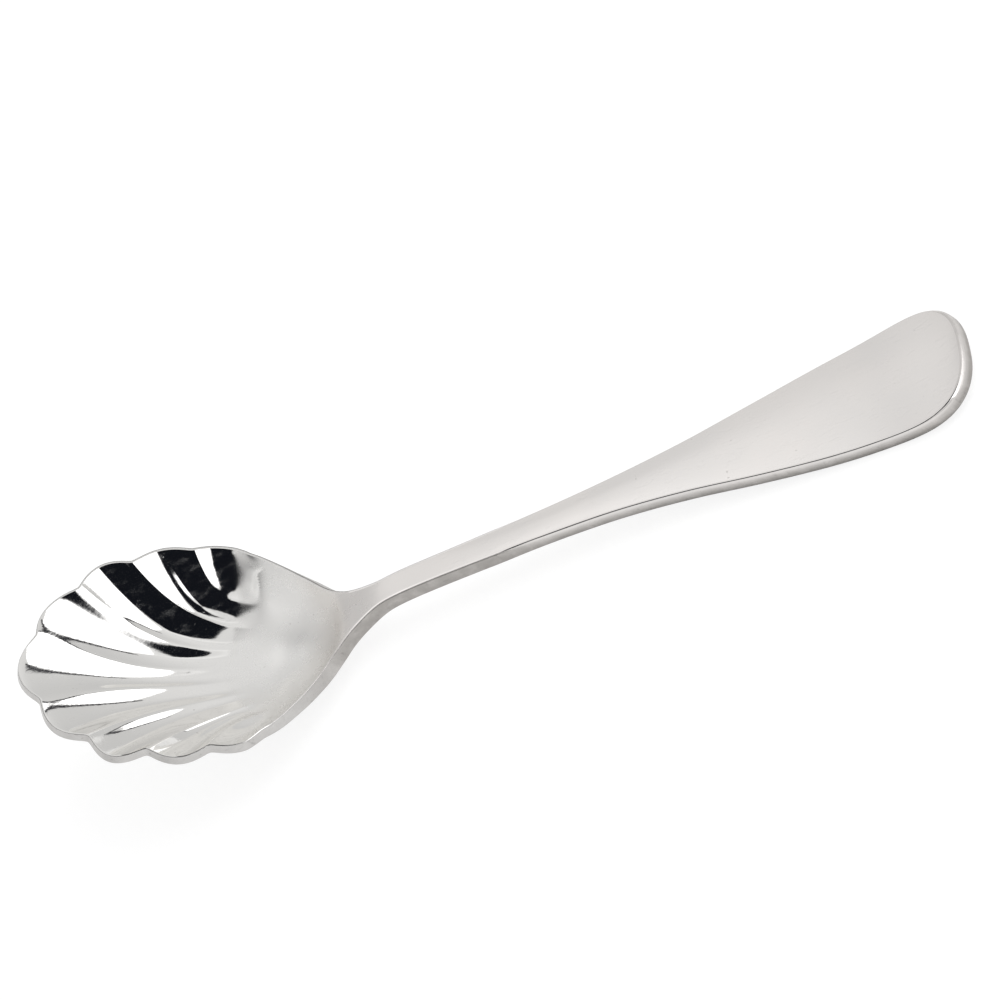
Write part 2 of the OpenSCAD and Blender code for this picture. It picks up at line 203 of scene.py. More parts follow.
class Spoon:
    """The spoon's surfaces as functions of the place along it and across it, in metres,
    first in the handle's own frame (tip of the bowl at zero, handle level)."""

    def __init__(self, sizes):
        for name in sizes.__annotations__:
            setattr(self, name, getattr(sizes, name))
        self.tilt = math.cos(self.rim_angle)
        self.half_l, self.half_w = self.oval_l / 2, self.oval_w / 2
        self.oval_x = (self.lobe_out + self.half_l) * self.tilt
        self.reach = self.half_l * self.tilt
        self.fade_x = self.flute_l * self.tilt
        self.shoulder_end = self.oval_x + self.shoulder_l
        self.neck_x = self.oval_x + NECK_PLACE * self.shoulder_l
        self.sag_x = self.oval_x + SAG_PLACE * self.shoulder_l
        self.end_x = self.spoon_l - self.end_l
        self.stem_x = self.shoulder_end + STEM_PLACE * self.spoon_l
        self.blade_x = self.stem_x + BLADE_PLACE * (self.end_x - self.stem_x)
        self.fan_x = self.blade_x + FAN_PLACE * (self.end_x - self.blade_x)
        self.tiny = self.spoon_l / 10000

    def half_width(self, x):
        """Half width behind the bowl's widest place: shoulder shares, then handle shares."""
        shoulder = self.stem_w / 2 + (self.half_w - self.stem_w / 2) * through(
            SHOULDER_SHARES, (x - self.oval_x) / self.shoulder_l)
        blade = self.stem_w / 2 + (self.handle_w - self.stem_w) / 2 * through(
            HANDLE_SHARES, (x - self.shoulder_end) / (self.spoon_l - self.shoulder_end))
        return np.where(x < self.shoulder_end, shoulder, blade)

    def line_z(self, x):
        """Middle line: the rim's slope down to the knee, less a bell-shaped sag at the
        neck, plus the stem's arch, less the handle's dip, plus a cubic at its end."""
        return (soft(math.tan(self.rim_angle) * (self.knee_x - x), self.knee_r)
                - self.neck_sag * np.exp(-((x - self.sag_x) / self.sag_l) ** 2)
                + self.arch * ease((x - self.sag_x) / (self.stem_x - self.sag_x))
                - self.dip * ease((x - self.blade_x) / (self.fan_x - self.blade_x))
                + self.end_rise * (np.maximum(x - self.fan_x, 0)
                                   / (self.spoon_l - self.fan_x)) ** 3)

    def line_up(self, x):
        """Unit vector square to the middle line."""
        e = (self.line_z(x + self.tiny) - self.line_z(x - self.tiny)) / (2 * self.tiny)
        n = np.sqrt(1 + e * e)
        return np.stack([-e / n, np.zeros_like(n), 1 / n], -1)

    def dish(self, x, y):
        """Height over the middle line of the smooth dish through the ridges: a paraboloid
        in front of the widest place, and behind it the depth times one minus the square
        of the share of the half width."""
        a = (x - self.oval_x) / self.reach
        deep = self.bowl_depth + self.heel_drop * a
        rise = self.rim_wave * np.clip(1 - np.maximum(a - WAVE_END, 0) / WAVE_FADE, 0, 1)
        front = rise - deep * (1 - a * a - (y / self.half_w) ** 2)
        across = 1 - (y / self.half_width(x)) ** 2
        out = np.maximum(self.floor_r * ease(a / FLOOR_SHARE), self.tiny)
        back = (rise - soft(deep * (1 - a * a), out) * across
                + self.crown * ease((x - self.shoulder_end) / self.shoulder_l) * across)
        return np.where(a < 0, front, back)

    def at(self, x, h, y):
        """The point h above the middle line at x, moved sideways by y."""
        base = np.stack([x, y, self.line_z(x)], -1)
        return base + h[..., None] * self.line_up(x)

    def facing(self, x, y):
        """Direction through the wall: halfway between square to the dish and square to
        the middle line."""
        d = self.tiny

        def smooth(px, py):
            return self.at(px, self.dish(px, py), py)
        n = np.cross(smooth(x + d, y) - smooth(x - d, y), smooth(x, y + d) - smooth(x, y - d))
        n /= np.linalg.norm(n, axis=-1, keepdims=True)
        half = n + self.line_up(x)
        return half / np.linalg.norm(half, axis=-1, keepdims=True)

    def across_lobe(self, t, sharp):
        """Rounded absolute cosine: 1 in a lobe's middle, 0 on a ridge; beyond the last
        ridge a squared cosine that runs out into the shoulder."""
        a = np.abs(t)
        c = np.cos(np.pi * (a - np.round(a)))
        lobe = (np.sqrt(c * c + sharp * sharp) - sharp) / (np.sqrt(1 + sharp * sharp) - sharp)
        return np.where(a > 4, np.cos(np.pi * (np.minimum(a, HALF_FAN) - 4)) ** 2, lobe)

    def rim_at(self, t, inset):
        """The oval's point at the lobe's angle, pushed out square to the oval by the lobe's
        share of the standing-out, less the inset."""
        a = np.abs(t)
        g = np.radians(np.interp(a, *RIDGE_ANGLES))
        share = np.asarray(LOBE_SHARES)[np.clip(np.floor(a + 0.5), 0, 4).astype(int)]
        out = self.lobe_out * share * self.across_lobe(t, NOTCH_ROUND) - inset
        ox = -self.half_l * np.cos(g)
        oy = np.where(g < np.pi / 2, self.half_w * np.sin(g),
                      self.half_width(self.oval_x + ox * self.tilt))
        nx, ny = -np.cos(g) / self.half_l, np.sin(g) / self.half_w
        n = np.hypot(nx, ny)
        return (self.oval_x + (ox + out * nx / n) * self.tilt,
                np.sign(t) * (oy + out * ny / n))

    def fan_width(self, x):
        """Half width by which the fan's lines are measured."""
        front = self.half_w * np.sqrt(np.clip(
            1 - ((x - self.oval_x) / (FAN_REACH * self.oval_x)) ** 2, 0, 1))
        return np.where(x < self.oval_x, front, self.half_width(x))

    def neck_share(self, t):
        """Share of the half width at which a lobe's line crosses the neck."""
        a = np.abs(t) / HALF_FAN
        s = NECK_STEP_SHARE * HALF_FAN
        return np.sign(t) * (a ** NECK_POWER * (1 - s) + a * s)

    def fade_line(self, t):
        """Place along the spoon at which a lobe's flute has run out."""
        return self.fade_x + self.flute_slant * ease(np.abs(t) / 4)

    def flute(self, t, x):
        """Depth pressed outwards at a lobe's line: the rim's own depth fading on the way to
        the fade line, plus a sine halfway, plus a pocket in which the outer flutes end. The
        shape across leans: it is steeper towards the tip by the lobe's share."""
        a = np.abs(t)
        off = 2 * (a - np.floor(a + 0.5))
        rx, ry = self.rim_at(t, 0)
        over = np.maximum(self.dish(rx, ry) - self.rim_wave, 0)
        left = self.fade_line(t) - rx
        way = np.clip((x - rx) / np.maximum(left, LEAST_SHARE * FADE_SHARE * self.flute_l), 0, 1)
        bump = (self.across_lobe(t, np.interp(a, *CREST_ROUNDS))
                * ease(left / (FADE_SHARE * self.flute_l))
                * (1 - np.interp(a, *LEAN_SHARES) * off))
        fading = (1 - way ** np.interp(a, *FADE_POWERS)) ** FADE_END_POWER
        middle = (self.flute_depth * np.sin(np.pi * way ** MIDDLE_POWER)
                  * (np.interp(a, *MIDDLE_SHARES) - np.interp(a, *LEAN_DEPTHS) * off))
        pocket = (self.heel_depth * np.interp(a, *POCKET_SHARES) * way ** POCKET_POWER
                  * (1 - ease((way - POCKET_END) / (1 - POCKET_END))))
        return (over + WAVE_SHARE * self.rim_wave * bump) * fading + bump * (middle + pocket)

    def wall(self, x):
        """Thickness, easing from the bowl's to the handle's."""
        return self.bowl_t + (self.handle_t - self.bowl_t) * ease(
            (x - self.oval_x) / self.shoulder_l)

    def laid(self, p):
        """Turned and set down on the table, with the origin under the middle."""
        c, s = math.cos(self.rest_angle), math.sin(self.rest_angle)
        return np.stack([p[..., 0] * c + p[..., 2] * s - self.middle, p[..., 1],
                         p[..., 2] * c - p[..., 0] * s - self.table], -1)

    def laid_direction(self, p):
        """A direction, turned only."""
        c, s = math.cos(self.rest_angle), math.sin(self.rest_angle)
        return np.stack([p[..., 0] * c + p[..., 2] * s, p[..., 1],
                         p[..., 2] * c - p[..., 0] * s], -1)

    def edge_width(self, x):
        """Width of the edge's land or rounding, easing from the rim's to the handle's."""
        back = (x - self.knee_x) / (self.neck_x - self.knee_x)
        return self.rim_edge + (self.edge_r - self.rim_edge) * ease(back)

    def plan(self, inner):
        """Grid of places seen from above: rows run from the bowl's rim to the handle's end,
        columns follow the flutes' lines. Inner is 1 for the grid inside the edge and 0 for
        the full outline. Returns the place along, the place across, the flute's depth and
        the share of satin, and the row numbers at which zones meet."""
        t = np.linspace(-HALF_FAN, HALF_FAN, int(2 * HALF_FAN * STEPS_PER_LOBE) + 1)
        side = np.abs(t) == HALF_FAN
        rx, ry = self.rim_at(t, inner * self.rim_edge)
        v = np.linspace(0, 1, ROWS["bowl"] + 1)[:, None] ** BOWL_ROW_POWER
        x = rx + (self.neck_x - rx) * v
        start = ry / self.fan_width(rx)
        share = self.neck_share(t)
        share = share + (start - share) * (1 - v) ** np.interp(np.abs(t), *BEND_POWERS)
        gap = inner * self.edge_width(x)
        y = np.where(side, np.sign(t) * (self.fan_width(x) - gap),
                     (self.fan_width(x) - gap * v) * share)
        rows_x, rows_y, depth = [x], [y], [self.flute(t, x)]
        satin = [ease((x / self.fade_line(t) - SATIN_START) / SATIN_WIDTH)]
        for a, b, count in ((self.neck_x, self.stem_x, ROWS["neck"]),
                            (self.stem_x, self.blade_x, ROWS["stem"]),
                            (self.blade_x, self.fan_x, ROWS["handle"])):
            x = (a + (b - a) * np.linspace(0, 1, count + 1)[1:, None]) + 0 * t
            rows_x.append(x)
            rows_y.append((self.half_width(x) - inner * self.edge_width(x))
                          * self.neck_share(t))
            depth.append(0 * x)
            satin.append(1 - (1 - HANDLE_SATIN) * ease((x - self.neck_x)
                                                       / (self.stem_x - self.neck_x)))
        g = np.abs(t) / HALF_FAN * np.pi / 2
        v = 1 - (1 - np.linspace(0, 1, ROWS["end"] + 1)[1:, None]) ** END_ROW_POWER
        last = (self.end_x - inner * self.edge_r
                + self.end_l * np.cos(g).clip(0, 1) ** (2 / END_POWER))
        x = self.fan_x + (last - self.fan_x) * v
        share = self.neck_share(t) * (1 - v) + np.sign(t) * np.sin(g) ** (2 / END_POWER) * v
        y = (self.half_width(x) - inner * self.edge_r) * share
        rows_x.append(x)
        rows_y.append(y)
        depth.append(0 * x)
        satin.append(0 * x + HANDLE_SATIN)
        cuts = np.cumsum([ROWS["bowl"], ROWS["neck"], ROWS["stem"]])
        return *(np.vstack(rows) for rows in (rows_x, rows_y, depth, satin)), cuts

    def skin(self, inner):
        """Upper points of the plan's grid and the direction through the wall there, with
        these numbers for each: the wall's thickness, the height of the edge's rounding,
        how much of the edge is a flat land rather than round, the share of satin, and the
        direction square to the middle line."""
        x, y, depth, satin, cuts = self.plan(inner)
        back = (x - self.stem_x) / (self.blade_x - self.stem_x)
        drop = self.edge_drop + (self.handle_drop - self.edge_drop) * ease(
            (back - EDGE_START) / EDGE_DEEPER)
        land = 1 - ease((back - EDGE_START) / EDGE_ROUNDER)
        upper = self.at(x, self.dish(x, y) - depth, y)
        shares = np.stack([self.wall(x), drop, land, satin], -1)
        return upper, self.facing(x, y), np.concatenate([shares, self.line_up(x)], -1), cuts

    def edge_path(self):
        """Rings over the handle's edge, as shares of its width and height and as tilts: a
        tight arc down to the corner's turn, then a wide arc down to upright. The two radii
        make up the edge's width and height."""
        s, c = math.sin(CORNER_TURN), math.cos(CORNER_TURN)
        tight, wide = np.linalg.solve([[s, 1 - s], [1 - c, c]],
                                      [self.edge_r, self.handle_drop])
        turns = np.concatenate([np.linspace(0, CORNER_TURN, EDGE_STEPS[0] + 1)[1:],
                                np.linspace(CORNER_TURN, np.pi / 2, EDGE_STEPS[1] + 1)[1:]])
        near = np.minimum(turns, CORNER_TURN)
        out = tight * np.sin(near) + wide * (np.sin(turns) - np.sin(near))
        down = tight * (1 - np.cos(near)) + wide * (np.cos(near) - np.cos(turns))
        return list(zip(out / self.edge_r, down / self.handle_drop, turns))

    def build(self):
        """All vertices of the spoon's closed skin with their normals: the upper sheet, the
        lower sheet at the wall's thickness, and rings round the outline between them, over
        one edge, a straight wall and the other edge. Where the edge is a flat land, the
        first rings face one way and the wall starts sharply."""
        upper, through_wall, shares, cuts = self.skin(1)
        corner = self.skin(0)[0]
        lower = upper - through_wall * shares[..., :1]
        self.upper, self.lower, self.satin, self.cuts = upper, lower, shares[..., 3], cuts
        self.last, self.side = upper.shape[0] - 1, upper.shape[1] - 1

        def square(p):
            n = np.cross(np.gradient(p, axis=0), np.gradient(p, axis=1))
            return n / np.linalg.norm(n, axis=-1, keepdims=True)
        self.upper_n, self.lower_n = square(upper), -square(lower)
        for sheet in (self.upper_n, self.lower_n):
            sheet[-CORNER_ROWS:, :2] = sheet[-CORNER_ROWS:, 2:3]
            sheet[-CORNER_ROWS:, -2:] = sheet[-CORNER_ROWS:, -3:-2]
        loop = self.outline
        rim, inner, shares = loop(corner), loop(upper), loop(shares)
        wall, drop, land, rim_up = (shares[:, a:b] for a, b in ((0, 1), (1, 2), (2, 3), (4, 7)))
        through_wall, up, down = loop(through_wall), loop(self.upper_n), loop(self.lower_n)
        ahead = np.roll(rim, -1, 0) - np.roll(rim, 1, 0)
        out = np.cross(through_wall, ahead)
        out /= np.linalg.norm(out, axis=-1, keepdims=True)
        out *= np.sign(np.sum(out * (rim - inner), -1, keepdims=True))
        # The end's rim: more satin, and a painted shade that dims the highlight on its rounding
        wear_and_shade = END_SATIN * ease((out[:, 0] - WEAR_SHADE_START) / WEAR_SHADE_WIDTH) * (1 - land[:, 0])
        path = self.edge_path()
        rings, normals, wall_shades = [], [], []
        for side, face in ((up, rim_up), (down, -rim_up)):
            for away, below, g in path if side is up else path[::-1]:
                level = drop * below
                rings.append(rim + (inner - rim) * (1 - away)
                             - through_wall * (level if side is up else wall - level))
                flat = away < LAND_SHARE
                tilted = face * math.cos(LAND_ANGLE) + out * math.sin(LAND_ANGLE)
                curved = side * math.cos(g) + out * math.sin(g)
                normals.append(curved * (1 - land) + (tilted if flat else out) * land)
                # Painted shade: the rounding darkens as it turns upright, the wall takes the side
                # wall's darker colour, and the end's rim is dimmed
                shade = (ROUND_SHADE * ease((g - SHADE_START) / SHADE_TURN) * (1 - land)
                         + (0 if flat else LAND_SHADE) * land)
                wall_shades.append(np.maximum(shade[:, 0], END_PAINTED_SHADE * wear_and_shade) if side is up
                             else 0 * wear_and_shade + 1)
        self.rings, self.ring_wall_shade = np.stack(rings), np.stack(wall_shades)
        self.ring_satin = np.tile(wear_and_shade, (len(rings), 1))
        self.rings_n = np.stack(normals)
        self.rings_n /= np.linalg.norm(self.rings_n, axis=-1, keepdims=True)

    def outline(self, grid):
        """Values of a grid along the outline: down one side, round the bowl's rim, up the
        other side and round the handle's end."""
        return np.concatenate([grid[::-1, 0], grid[0, 1:], grid[1:, -1], grid[-1, -2:0:-1]])


# ---------- meshes ----------

def sheet_faces(grid, flip):
    """Four-sided faces between neighbours of a grid of vertex numbers."""
    a, b, c, d = grid[:-1, :-1], grid[1:, :-1], grid[1:, 1:], grid[:-1, 1:]
    faces = np.stack([a, b, c, d], -1).reshape(-1, 4)
    return faces[:, ::-1] if flip else faces


def zone_piece(spoon, name, first, last):
    """One zone as a closed mesh: its rows of the upper and lower sheets, the rings along
    its stretch of the outline, and a flat face at each end where it meets its neighbour."""
    rows, cols = last - first + 1, spoon.side + 1
    top, foot, ring_count = spoon.last, spoon.side, len(spoon.rings)
    around = len(spoon.rings[0])
    left = np.arange(top - last, top - first + 1)
    right = np.arange(top + foot + first, top + foot + last + 1)
    if first == 0:
        paths = [np.arange(left[0], right[-1] + 1)]
    elif last == top:
        paths = [np.arange(right[0], right[0] + 2 * (last - first) + foot + 1) % around]
    else:
        paths = [left, right]
    upper_no = np.arange(rows * cols).reshape(rows, cols)
    lower_no = upper_no + rows * cols
    points = [spoon.upper[first:last + 1].reshape(-1, 3),
              spoon.lower[first:last + 1].reshape(-1, 3)]
    normals = [spoon.upper_n[first:last + 1].reshape(-1, 3),
               spoon.lower_n[first:last + 1].reshape(-1, 3)]
    edge = [np.zeros(2 * rows * cols)]
    satin = [spoon.satin[first:last + 1].ravel()] * 2
    faces = [sheet_faces(upper_no, False), sheet_faces(lower_no, True)]
    whole_up, whole_low = (np.full((top + 1, cols), -1) for _ in range(2))
    whole_up[first:last + 1], whole_low[first:last + 1] = upper_no, lower_no
    count = 2 * rows * cols
    ends = {}
    for path in paths:
        ring_no = count + np.arange(ring_count * len(path)).reshape(ring_count, len(path))
        count += ring_no.size
        points.append(spoon.rings[:, path].reshape(-1, 3))
        normals.append(spoon.rings_n[:, path].reshape(-1, 3))
        edge.append(spoon.ring_wall_shade[:, path].ravel())
        satin.append(spoon.ring_satin[:, path].ravel())
        band = np.vstack([spoon.outline(whole_up)[path], ring_no, spoon.outline(whole_low)[path]])
        faces.append(sheet_faces(band, True))
        ends[int(path[0])], ends[int(path[-1])] = band[:, 0], band[:, -1]
    caps = []
    if first > 0:
        faces.append(np.stack([upper_no[0, :-1], upper_no[0, 1:],
                               lower_no[0, 1:], lower_no[0, :-1]], -1))
        caps += [ends[int(top - first)][::-1], ends[int(top + foot + first)]]
    if last < top:
        faces.append(np.stack([upper_no[-1, 1:], upper_no[-1, :-1],
                               lower_no[-1, :-1], lower_no[-1, 1:]], -1))
        caps += [ends[int(top - last)], ends[int(top + foot + last)][::-1]]
    mesh = bpy.data.meshes.new(name)
    mesh.from_pydata(spoon.laid(np.concatenate(points)), [],
                     np.concatenate(faces).tolist() + [c.tolist() for c in caps])
    mesh.shade_smooth()
    # The side wall share carries the painted shade of rounding, wall and end rim, and the wall's
    # roughness and nicks
    for label, values in (("side_wall", edge), ("satin", satin)):
        shares = mesh.attributes.new(label, "FLOAT", "POINT")
        shares.data.foreach_set("value", np.concatenate(values).astype(np.float32))
    mesh.normals_split_custom_set_from_vertices(spoon.laid_direction(np.concatenate(normals)))
    piece = bpy.data.objects.new(name, mesh)
    bpy.context.scene.collection.objects.link(piece)
    return piece


# ---------- finishes ----------

# Places along the spoon between which the bowl's tint passes into the shaft's
TINT_TURN = (-0.041, -0.028)
# Fineness of the noise patterns, per metre: slow drift of the colour and the polish,
# clouds, pin marks and nicks, then wiping and brushing marks, drawn out along the spoon
DRIFT_SCALE, WAVE_SCALE, CLOUD_SCALE, PIN_SCALE, NICK_SCALE = 55.0, 130.0, 420.0, 1500.0, 900.0
NICK_STRETCH = (1.0, 1.0, 0.6)
WIPED_SCALE, BRUSHED_SCALE = (60.0, 2400.0, 2400.0), (260.0, 700.0, 700.0)
# Colours of worn metal, of the nicks' and pin marks' dirt, and the share of each
WORN_TINT = (0.8, 0.79, 0.78, 1)
NICK_COLOUR, NICK_SHARE = (0.16, 0.15, 0.14, 1), 0.35
PIN_COLOUR, PIN_SHARE = (0.3, 0.28, 0.25, 1), 0.25
# Heights in metres: wiping marks in the mirror and in the satin, the side wall's grain and
# the pin marks' depth
MIRROR_WIPES, SATIN_WIPES, WALL_GRAIN, PIN_DEPTH = 0.000003, 0.0000002, 0.000012, 0.000004
# Roughness of the haze, what the side wall and the wiping marks add, and how far those
# marks make the satin's border ragged
HAZE_ROUGH, WALL_ROUGH, WIPED_ROUGH, RAGGED = 0.36, 0.2, 0.015, 0.12


class Nodes:
    """Short way to add shader nodes and join them."""

    def __init__(self, tree):
        self.tree = tree
        tree.nodes.clear()

    def add(self, kind, inputs=None, **settings):
        """A new node with its settings, and its inputs set or joined."""
        n = self.tree.nodes.new(kind)
        for key, value in settings.items():
            setattr(n, key, value)
        for key, value in (inputs or {}).items():
            self.put(n.inputs[key], value)
        return n

    def put(self, socket, value):
        """Joins the socket to another one, or sets its constant."""
        if isinstance(value, bpy.types.NodeSocket):
            self.tree.links.new(value, socket)
        else:
            socket.default_value = value

    def math(self, operation, a, b=0.0, c=0.0):
        """One step of arithmetic."""
        return self.add("ShaderNodeMath", {0: a, 1: b, 2: c}, operation=operation).outputs[0]

    def dot(self, a, b):
        """Dot product of two vectors."""
        n = self.add("ShaderNodeVectorMath", {0: a, 1: b}, operation="DOT_PRODUCT")
        return n.outputs["Value"]

    def ramp(self, value, low, high, to_low=0.0, to_high=1.0):
        """Smooth step from one value to another between low and high."""
        n = self.add("ShaderNodeMapRange", {0: value, 1: low, 2: high, 3: to_low, 4: to_high},
                     interpolation_type="SMOOTHSTEP", clamp=True)
        return n.outputs[0]

    def noise(self, vector, scale, detail=4.0, roughness=0.55):
        """Cloudy noise between 0 and 1."""
        n = self.add("ShaderNodeTexNoise", {"Vector": vector, "Scale": scale,
                                            "Detail": detail, "Roughness": roughness})
        return n.outputs["Fac"]

    def stretched(self, vector, scale):
        """The vector times a scale for each axis."""
        n = self.add("ShaderNodeMapping", {"Vector": vector, "Scale": scale})
        return n.outputs["Vector"]

    def blend(self, share, a, b):
        """Colour a, passing into colour b by the share."""
        n = self.add("ShaderNodeMix", data_type="RGBA")
        self.put(n.inputs["Factor"], share)
        self.put(n.inputs[6], a)
        self.put(n.inputs[7], b)
        return n.outputs[2]


def polished_metal(name, looks):
    """Polished steel: mirror bright in the flutes and on the edges, satin elsewhere, with
    soft colour drift, fine wiping marks along the spoon, a few pin marks, a slow
    hand-polished waviness, and a rougher, nicked side wall whose darker colour is painted
    shade. Its tint passes from the bowl's to the shaft's where the two meet."""
    material = bpy.data.materials.new(name)
    material.use_nodes = True
    n = Nodes(material.node_tree)
    place = n.add("ShaderNodeTexCoord").outputs["Object"]
    wall = n.add("ShaderNodeAttribute", attribute_name="side_wall").outputs["Fac"]
    satin = n.add("ShaderNodeAttribute", attribute_name="satin").outputs["Fac"]
    along = n.add("ShaderNodeSeparateXYZ", {0: place}).outputs["X"]
    back = n.ramp(along, *TINT_TURN)
    tint = n.blend(back, (*looks.bowl, 1), (*looks.shaft, 1))
    # Side wall colour, darker than the top of the same steel: painted shade
    side = n.blend(back, (*looks.bowl_side, 1), (*looks.shaft_side, 1))
    drift = n.ramp(n.noise(place, DRIFT_SCALE, 3.0), 0.35, 0.65)
    colour = n.blend(n.math("MULTIPLY", drift, looks.drift), tint, WORN_TINT)
    wiped = n.noise(n.stretched(place, WIPED_SCALE), 1.0, 3.0, 0.5)
    brushed = n.noise(n.stretched(place, BRUSHED_SCALE), 1.0, 4.0, 0.65)
    clouds = n.noise(place, CLOUD_SCALE, 4.0)
    nicks = n.ramp(n.noise(n.stretched(place, NICK_STRETCH), NICK_SCALE, 3.0, 0.7), 0.6, 0.72)
    pins = n.ramp(n.noise(place, PIN_SCALE, 1.0), 0.765, 0.8)
    # Wall, rounding and end rim take the darker side colour, mottled by clouds: painted shade
    colour = n.blend(n.math("MULTIPLY", wall, n.ramp(clouds, 0.3, 0.6, 0.75, 1.0)),
                     colour, side)
    colour = n.blend(n.math("MULTIPLY", n.math("MULTIPLY", wall, nicks), NICK_SHARE),
                     colour, NICK_COLOUR)
    colour = n.blend(n.math("MULTIPLY", pins, PIN_SHARE), colour, PIN_COLOUR)
    ragged = n.math("MULTIPLY_ADD", n.math("SUBTRACT", wiped, 0.5), RAGGED, satin)
    rough = n.ramp(ragged, 0.25, 0.75, looks.mirror_rough, looks.satin_rough)
    rough = n.math("MULTIPLY", rough, n.ramp(clouds, 0.3, 0.7, 0.94, 1.06))
    rough = n.math("ADD", rough, n.ramp(wiped, 0.55, 0.8, 0.0, WIPED_ROUGH))
    rough = n.math("MULTIPLY_ADD", wall, WALL_ROUGH, rough)
    relief = n.math("MULTIPLY", n.noise(place, WAVE_SCALE, 2.0), looks.wave)
    wipes = n.ramp(satin, 0.0, 0.3, MIRROR_WIPES, SATIN_WIPES)
    relief = n.math("MULTIPLY_ADD", wiped, wipes, relief)
    relief = n.math("MULTIPLY_ADD", n.math("MULTIPLY", wall, clouds), WALL_GRAIN, relief)
    relief = n.math("SUBTRACT", relief, n.math("MULTIPLY", pins, PIN_DEPTH))
    bump = n.add("ShaderNodeBump", {"Strength": 1.0, "Distance": 1.0, "Height": relief})
    clear, hazy = (n.add("ShaderNodeBsdfPrincipled", {
        "Base Color": colour, "Metallic": 1.0, "Roughness": blur,
        "Normal": bump.outputs["Normal"]}).outputs["BSDF"] for blur in (rough, HAZE_ROUGH))
    haze = n.add("ShaderNodeMixShader", {
        0: n.ramp(brushed, 0.52, 0.76, 0.0, looks.haze), 1: clear, 2: hazy})
    n.add("ShaderNodeOutputMaterial", {"Surface": haze.outputs[0]})
    return material


class SpoonLooks(bpy.types.PropertyGroup):
    """Colours and finish of the metal."""
    bowl: FloatVectorProperty(name="Bowl", description="Colour of the bowl's metal",
                              subtype="COLOR", default=(0.90, 0.89, 0.868), min=0, max=1)
    # The side walls' darker colours are painted shade, standing in for the darker reflections
    # along them
    bowl_side: FloatVectorProperty(name="Bowl's side", description="Colour of its side wall",
                                   subtype="COLOR", default=(0.68, 0.665, 0.65), min=0, max=1)
    shaft: FloatVectorProperty(name="Shaft", description="Colour of neck, stem and handle",
                               subtype="COLOR", default=(0.91, 0.876, 0.85), min=0, max=1)
    # The shaft's darker side wall colour is painted shade as well
    shaft_side: FloatVectorProperty(name="Shaft's side", description="Colour of its side wall",
                                    subtype="COLOR", default=(0.45, 0.43, 0.41), min=0, max=1)
    drift: FloatProperty(name="Drift", description="How far the colour drifts to grey",
                         default=0.3, min=0, max=1, subtype="FACTOR")
    mirror_rough: FloatProperty(name="Mirror roughness", description="Roughness in the flutes",
                                default=0.05, min=0, max=1, subtype="FACTOR")
    satin_rough: FloatProperty(name="Satin roughness", description="Roughness of the rest",
                               default=0.28, min=0, max=1, subtype="FACTOR")
    haze: FloatProperty(name="Haze", description="Share of scuffed metal in the worst places",
                        default=0.2, min=0, max=1, subtype="FACTOR")
    wave: FloatProperty(name="Waviness", description="Height of the hand-polished waviness",
                        default=0.000008, min=0, unit="LENGTH", precision=6)


# ---------- stage ----------

class StageLooks(bpy.types.PropertyGroup):
    """Floor, light and camera."""
    floor: FloatVectorProperty(name="Floor", description="Colour of the table",
                               subtype="COLOR", default=(0.82, 0.82, 0.82), min=0, max=1)
    tent: FloatProperty(name="Tent", description="Brightness of the tent's walls",
                        default=0.62, min=0, max=2)
    roof: FloatProperty(name="Roof", description="How much brighter its roof is",
                        default=0.19, min=0, max=2)
    panel: FloatProperty(name="Panel", description="Brightness of the white panel",
                         default=1.7, min=0, max=4)
    lens: FloatProperty(name="Lens", description="Focal length of the camera",
                        default=0.1656, min=0, unit="CAMERA")


# The camera's directions backwards, to the picture's right and up, and its place
VIEW = Vector((0.354829, -0.60871, 0.709626))
VIEW_RIGHT = Vector((0.848433, -0.109209, -0.517914))
VIEW_UP = Vector((0.392757, 0.785841, 0.477699))
CAMERA_PLACE = Vector((0.24189, -0.407919, 0.490706))


def chart(n, ray):
    """The ray's place on a chart round the camera's direction: degrees to the picture's
    right and degrees up, measured along one arc."""
    across, up = n.dot(ray, tuple(VIEW_RIGHT)), n.dot(ray, tuple(VIEW_UP))
    turn = n.math("MULTIPLY", n.math("ARCCOSINE", n.dot(ray, tuple(VIEW))), 180 / math.pi)
    far = n.math("SQRT", n.math("MULTIPLY_ADD", across, across, n.math("MULTIPLY", up, up)))
    scale = n.math("DIVIDE", turn, n.math("MAXIMUM", far, 0.0001))
    return n.math("MULTIPLY", across, scale), n.math("MULTIPLY", up, scale)


def inside(n, place, corners, edge, ragged=0.0):
    """Share, 0 to 1, by which the place lies inside a convex outline on the chart, with its
    corners listed anticlockwise, a margin of the given softness and a ragged shift."""
    out = None
    for (x0, y0), (x1, y1) in zip(corners, corners[1:] + corners[:1]):
        size = math.hypot(x1 - x0, y1 - y0)
        nx, ny = (y1 - y0) / size, (x0 - x1) / size
        line = n.math("MULTIPLY_ADD", place[0], nx, -(x0 * nx + y0 * ny))
        line = n.math("MULTIPLY_ADD", place[1], ny, line)
        out = line if out is None else n.math("MAXIMUM", out, line)
    return n.ramp(n.math("ADD", out, ragged), -edge, edge, 1.0, 0.0)


def soft_patch(n, place, across, up, length, width, turn):
    """Soft elliptical patch on the chart: e to the power of minus the squared distance
    from its centre, measured in its length and width along its turned axes."""
    c, s = math.cos(math.radians(turn)), math.sin(math.radians(turn))
    far = None
    for a, b, size in ((c, s, length), (-s, c, width)):
        line = n.math("MULTIPLY_ADD", place[0], a / size, -(across * a + up * b) / size)
        line = n.math("MULTIPLY_ADD", place[1], b / size, line)
        far = n.math("MULTIPLY_ADD", line, line, far or 0.0)
    return n.math("EXPONENT", n.math("MULTIPLY", far, -1.0))


